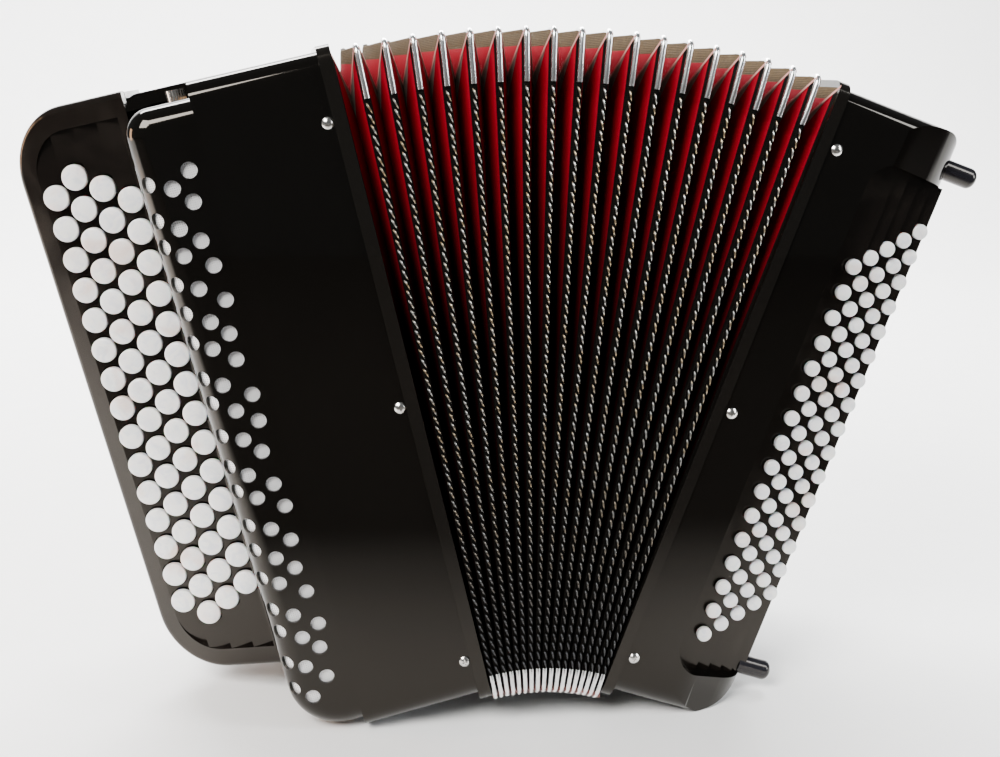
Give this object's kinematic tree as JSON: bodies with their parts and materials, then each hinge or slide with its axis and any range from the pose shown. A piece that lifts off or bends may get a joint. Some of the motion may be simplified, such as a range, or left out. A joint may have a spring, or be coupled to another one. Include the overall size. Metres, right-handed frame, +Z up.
{
  "type": "chromatic button accordion",
  "caption": "Free-standing chromatic button accordion, opened like a fan: stepped treble button board, pierced grille, folding bellows and a bass end with stepped buttons and a hand strap.",
  "frame": {"origin": "middle of the floor under the instrument, which stands on the heels of its two casings", "axes": "+X from the treble keyboard to the bass end, +Y from the front to the player, +Z up"},
  "size_m": [0.534, 0.2076, 0.3879],
  "materials": {
    "bellows_card": "matt",
    "black_lacquer": "gloss",
    "board_black": "gloss",
    "rim_black": "gloss",
    "pearl": "gloss",
    "button_black": "gloss",
    "foot_black": "gloss",
    "screw_steel": "satin",
    "bright_chrome": "polished",
    "silver_mesh": "satin",
    "lever_aluminium": "satin",
    "axle_steel": "satin",
    "spruce": "matt",
    "reed_metal": "satin",
    "strap_leather": "matt",
    "valve_felt": "matt"
  },
  "bodies": {
    "treble_side": {"treble_case": "black_lacquer", "treble_grille": "black_lacquer", "grille_mesh": "silver_mesh", "grille_thumb_screw": "screw_steel", "keyboard_board": "board_black", "keyboard_case": "board_black", "lever_axle": "axle_steel", "axle_posts": "spruce", "treble_soundboard": "spruce", "treble_reed_blocks": "spruce", "treble_reed_plates": "reed_metal", "treble_bellows_frame": "rim_black", "treble_bellows_screws": "screw_steel", "shoulder_strap_brackets": "bright_chrome"},
    "treble_row_1": {"treble_buttons_row_1": "pearl"},
    "treble_lever_row_1": {"treble_levers_row_1": "lever_aluminium"},
    "treble_row_2": {"treble_buttons_row_2": "pearl"},
    "treble_lever_row_2": {"treble_levers_row_2": "lever_aluminium"},
    "treble_row_3": {"treble_buttons_row_3": "pearl"},
    "treble_lever_row_3": {"treble_levers_row_3": "lever_aluminium"},
    "treble_row_4": {"treble_buttons_row_4": "pearl"},
    "treble_lever_row_4": {"treble_levers_row_4": "lever_aluminium"},
    "fold_01": {"fold_01": "bellows_card"},
    "fold_02": {"fold_02": "bellows_card"},
    "fold_03": {"fold_03": "bellows_card"},
    "fold_04": {"fold_04": "bellows_card"},
    "fold_05": {"fold_05": "bellows_card"},
    "fold_06": {"fold_06": "bellows_card"},
    "fold_07": {"fold_07": "bellows_card"},
    "fold_08": {"fold_08": "bellows_card"},
    "fold_09": {"fold_09": "bellows_card"},
    "fold_10": {"fold_10": "bellows_card"},
    "fold_11": {"fold_11": "bellows_card"},
    "fold_12": {"fold_12": "bellows_card"},
    "fold_13": {"fold_13": "bellows_card"},
    "fold_14": {"fold_14": "bellows_card"},
    "fold_15": {"fold_15": "bellows_card"},
    "fold_16": {"fold_16": "bellows_card"},
    "fold_17": {"fold_17": "bellows_card"},
    "fold_18": {"fold_18": "bellows_card"},
    "bass_side": {"bass_case": "black_lacquer", "bass_button_board": "board_black", "bass_soundboard": "spruce", "bass_reed_blocks": "spruce", "bass_reed_plates": "reed_metal", "bass_axle": "axle_steel", "bass_axle_posts": "spruce", "bass_bellows_frame": "rim_black", "bass_bellows_screws": "screw_steel", "bass_feet": "foot_black", "bass_strap": "strap_leather", "bass_strap_clamps": "bright_chrome"},
    "bass_row_1": {"bass_buttons_row_1": "pearl"},
    "bass_row_2": {"bass_buttons_row_2": "pearl"},
    "bass_row_3": {"bass_buttons_row_3": "pearl"},
    "bass_row_4": {"bass_buttons_row_4": "pearl"},
    "bass_row_5": {"bass_buttons_row_5": "pearl"},
    "bass_pallet_rack": {"bass_pallets": "lever_aluminium"},
    "air_release": {"air_button": "button_black", "air_valve": "valve_felt"}
  },
  "joints": [
    {"name": "bellows_01", "type": "hinge", "parent": "treble_side", "child": "fold_01", "pos_m": [-0.01074, -0.00216, 0.01786], "axis": [0, 1, 0], "range_deg": [-1.72, 1.6]},
    {"name": "bellows_02", "type": "hinge", "parent": "fold_01", "child": "fold_02", "pos_m": [-0.00736, -0.00216, 0.0186], "axis": [0, 1, 0], "range_deg": [-1.72, 1.6]},
    {"name": "bellows_03", "type": "hinge", "parent": "fold_02", "child": "fold_03", "pos_m": [-0.00396, -0.00216, 0.01923], "axis": [0, 1, 0], "range_deg": [-1.72, 1.6]},
    {"name": "bellows_04", "type": "hinge", "parent": "fold_03", "child": "fold_04", "pos_m": [-0.00055, -0.00216, 0.01976], "axis": [0, 1, 0], "range_deg": [-1.72, 1.6]},
    {"name": "bellows_05", "type": "hinge", "parent": "fold_04", "child": "fold_05", "pos_m": [0.00288, -0.00216, 0.02019], "axis": [0, 1, 0], "range_deg": [-1.72, 1.6]},
    {"name": "bellows_06", "type": "hinge", "parent": "fold_05", "child": "fold_06", "pos_m": [0.00632, -0.00216, 0.02052], "axis": [0, 1, 0], "range_deg": [-1.72, 1.6]},
    {"name": "bellows_07", "type": "hinge", "parent": "fold_06", "child": "fold_07", "pos_m": [0.00977, -0.00216, 0.02074], "axis": [0, 1, 0], "range_deg": [-1.72, 1.6]},
    {"name": "bellows_08", "type": "hinge", "parent": "fold_07", "child": "fold_08", "pos_m": [0.01323, -0.00216, 0.02086], "axis": [0, 1, 0], "range_deg": [-1.72, 1.6]},
    {"name": "bellows_09", "type": "hinge", "parent": "fold_08", "child": "fold_09", "pos_m": [0.01668, -0.00216, 0.02087], "axis": [0, 1, 0], "range_deg": [-1.72, 1.6]},
    {"name": "bellows_10", "type": "hinge", "parent": "fold_09", "child": "fold_10", "pos_m": [0.02014, -0.00216, 0.02079], "axis": [0, 1, 0], "range_deg": [-1.72, 1.6]},
    {"name": "bellows_11", "type": "hinge", "parent": "fold_10", "child": "fold_11", "pos_m": [0.02359, -0.00216, 0.02059], "axis": [0, 1, 0], "range_deg": [-1.72, 1.6]},
    {"name": "bellows_12", "type": "hinge", "parent": "fold_11", "child": "fold_12", "pos_m": [0.02703, -0.00216, 0.0203], "axis": [0, 1, 0], "range_deg": [-1.72, 1.6]},
    {"name": "bellows_13", "type": "hinge", "parent": "fold_12", "child": "fold_13", "pos_m": [0.03046, -0.00216, 0.0199], "axis": [0, 1, 0], "range_deg": [-1.72, 1.6]},
    {"name": "bellows_14", "type": "hinge", "parent": "fold_13", "child": "fold_14", "pos_m": [0.03388, -0.00216, 0.0194], "axis": [0, 1, 0], "range_deg": [-1.72, 1.6]},
    {"name": "bellows_15", "type": "hinge", "parent": "fold_14", "child": "fold_15", "pos_m": [0.03728, -0.00216, 0.0188], "axis": [0, 1, 0], "range_deg": [-1.72, 1.6]},
    {"name": "bellows_16", "type": "hinge", "parent": "fold_15", "child": "fold_16", "pos_m": [0.04067, -0.00216, 0.01809], "axis": [0, 1, 0], "range_deg": [-1.72, 1.6]},
    {"name": "bellows_17", "type": "hinge", "parent": "fold_16", "child": "fold_17", "pos_m": [0.04403, -0.00216, 0.01729], "axis": [0, 1, 0], "range_deg": [-1.72, 1.6]},
    {"name": "bellows_18", "type": "hinge", "parent": "fold_17", "child": "fold_18", "pos_m": [0.04736, -0.00216, 0.01638], "axis": [0, 1, 0], "range_deg": [-1.72, 1.6]},
    {"name": "bellows_19", "type": "hinge", "parent": "fold_18", "child": "bass_side", "pos_m": [0.05067, -0.00216, 0.01537], "axis": [0, 1, 0], "range_deg": [-1.72, 1.6]},
    {"name": "treble_row_1_press", "type": "slide", "parent": "treble_side", "child": "treble_row_1", "axis": [0.135, 0.9903, 0.0337], "range_m": [0, 0.0035], "stiffness_N_per_m": 300, "springref_m": -0.004},
    {"name": "treble_levers_1_turn", "type": "hinge", "parent": "treble_side", "child": "treble_lever_row_1", "pos_m": [-0.14578, -0.01416, 0.17022], "axis": [0.2419, 0, -0.9703], "range_deg": [0, 3.13]},
    {"name": "treble_row_2_press", "type": "slide", "parent": "treble_side", "child": "treble_row_2", "axis": [0.135, 0.9903, 0.0337], "range_m": [0, 0.0035], "stiffness_N_per_m": 300, "springref_m": -0.004},
    {"name": "treble_levers_2_turn", "type": "hinge", "parent": "treble_side", "child": "treble_lever_row_2", "pos_m": [-0.14578, -0.01416, 0.17022], "axis": [0.2419, 0, -0.9703], "range_deg": [0, 3.97]},
    {"name": "treble_row_3_press", "type": "slide", "parent": "treble_side", "child": "treble_row_3", "axis": [0.135, 0.9903, 0.0337], "range_m": [0, 0.0035], "stiffness_N_per_m": 300, "springref_m": -0.004},
    {"name": "treble_levers_3_turn", "type": "hinge", "parent": "treble_side", "child": "treble_lever_row_3", "pos_m": [-0.14578, -0.01416, 0.17022], "axis": [0.2419, 0, -0.9703], "range_deg": [0, 5.43]},
    {"name": "treble_row_4_press", "type": "slide", "parent": "treble_side", "child": "treble_row_4", "axis": [0.135, 0.9903, 0.0337], "range_m": [0, 0.0035], "stiffness_N_per_m": 300, "springref_m": -0.004},
    {"name": "treble_levers_4_turn", "type": "hinge", "parent": "treble_side", "child": "treble_lever_row_4", "pos_m": [-0.14578, -0.01416, 0.17022], "axis": [0.2419, 0, -0.9703], "range_deg": [0, 8.61]},
    {"name": "bass_row_1_press", "type": "slide", "parent": "bass_side", "child": "bass_row_1", "axis": [0, 1, 0], "range_m": [0, 0.003], "stiffness_N_per_m": 250, "springref_m": -0.004},
    {"name": "bass_row_2_press", "type": "slide", "parent": "bass_side", "child": "bass_row_2", "axis": [0, 1, 0], "range_m": [0, 0.003], "stiffness_N_per_m": 250, "springref_m": -0.004},
    {"name": "bass_row_3_press", "type": "slide", "parent": "bass_side", "child": "bass_row_3", "axis": [0, 1, 0], "range_m": [0, 0.003], "stiffness_N_per_m": 250, "springref_m": -0.004},
    {"name": "bass_row_4_press", "type": "slide", "parent": "bass_side", "child": "bass_row_4", "axis": [0, 1, 0], "range_m": [0, 0.003], "stiffness_N_per_m": 250, "springref_m": -0.004},
    {"name": "bass_row_5_press", "type": "slide", "parent": "bass_side", "child": "bass_row_5", "axis": [0, 1, 0], "range_m": [0, 0.003], "stiffness_N_per_m": 250, "springref_m": -0.004},
    {"name": "bass_pallets_turn", "type": "hinge", "parent": "bass_side", "child": "bass_pallet_rack", "pos_m": [0.16349, 0.04784, 0.16939], "axis": [0.3196, 0, 0.9475], "range_deg": [0, 4.01]},
    {"name": "air_button_press", "type": "slide", "parent": "bass_side", "child": "air_release", "axis": [-0.9475, 0, 0.3196], "range_m": [0, 0.004], "stiffness_N_per_m": 500, "springref_m": -0.004}
  ],
  "couplings": [
    {"joint": "bellows_02", "follows": "bellows_01", "ratio": 1},
    {"joint": "bellows_03", "follows": "bellows_01", "ratio": 1},
    {"joint": "bellows_04", "follows": "bellows_01", "ratio": 1},
    {"joint": "bellows_05", "follows": "bellows_01", "ratio": 1},
    {"joint": "bellows_06", "follows": "bellows_01", "ratio": 1},
    {"joint": "bellows_07", "follows": "bellows_01", "ratio": 1},
    {"joint": "bellows_08", "follows": "bellows_01", "ratio": 1},
    {"joint": "bellows_09", "follows": "bellows_01", "ratio": 1},
    {"joint": "bellows_10", "follows": "bellows_01", "ratio": 1},
    {"joint": "bellows_11", "follows": "bellows_01", "ratio": 1},
    {"joint": "bellows_12", "follows": "bellows_01", "ratio": 1},
    {"joint": "bellows_13", "follows": "bellows_01", "ratio": 1},
    {"joint": "bellows_14", "follows": "bellows_01", "ratio": 1},
    {"joint": "bellows_15", "follows": "bellows_01", "ratio": 1},
    {"joint": "bellows_16", "follows": "bellows_01", "ratio": 1},
    {"joint": "bellows_17", "follows": "bellows_01", "ratio": 1},
    {"joint": "bellows_18", "follows": "bellows_01", "ratio": 1},
    {"joint": "bellows_19", "follows": "bellows_01", "ratio": 1},
    {"joint": "treble_levers_1_turn", "follows": "treble_row_1_press", "rad_per_m": 15.554},
    {"joint": "treble_levers_2_turn", "follows": "treble_row_2_press", "rad_per_m": 19.751},
    {"joint": "treble_levers_3_turn", "follows": "treble_row_3_press", "rad_per_m": 27.048},
    {"joint": "treble_levers_4_turn", "follows": "treble_row_4_press", "rad_per_m": 42.898},
    {"joint": "bass_pallets_turn", "follows": "bass_row_3_press", "rad_per_m": 23.271}
  ]
}
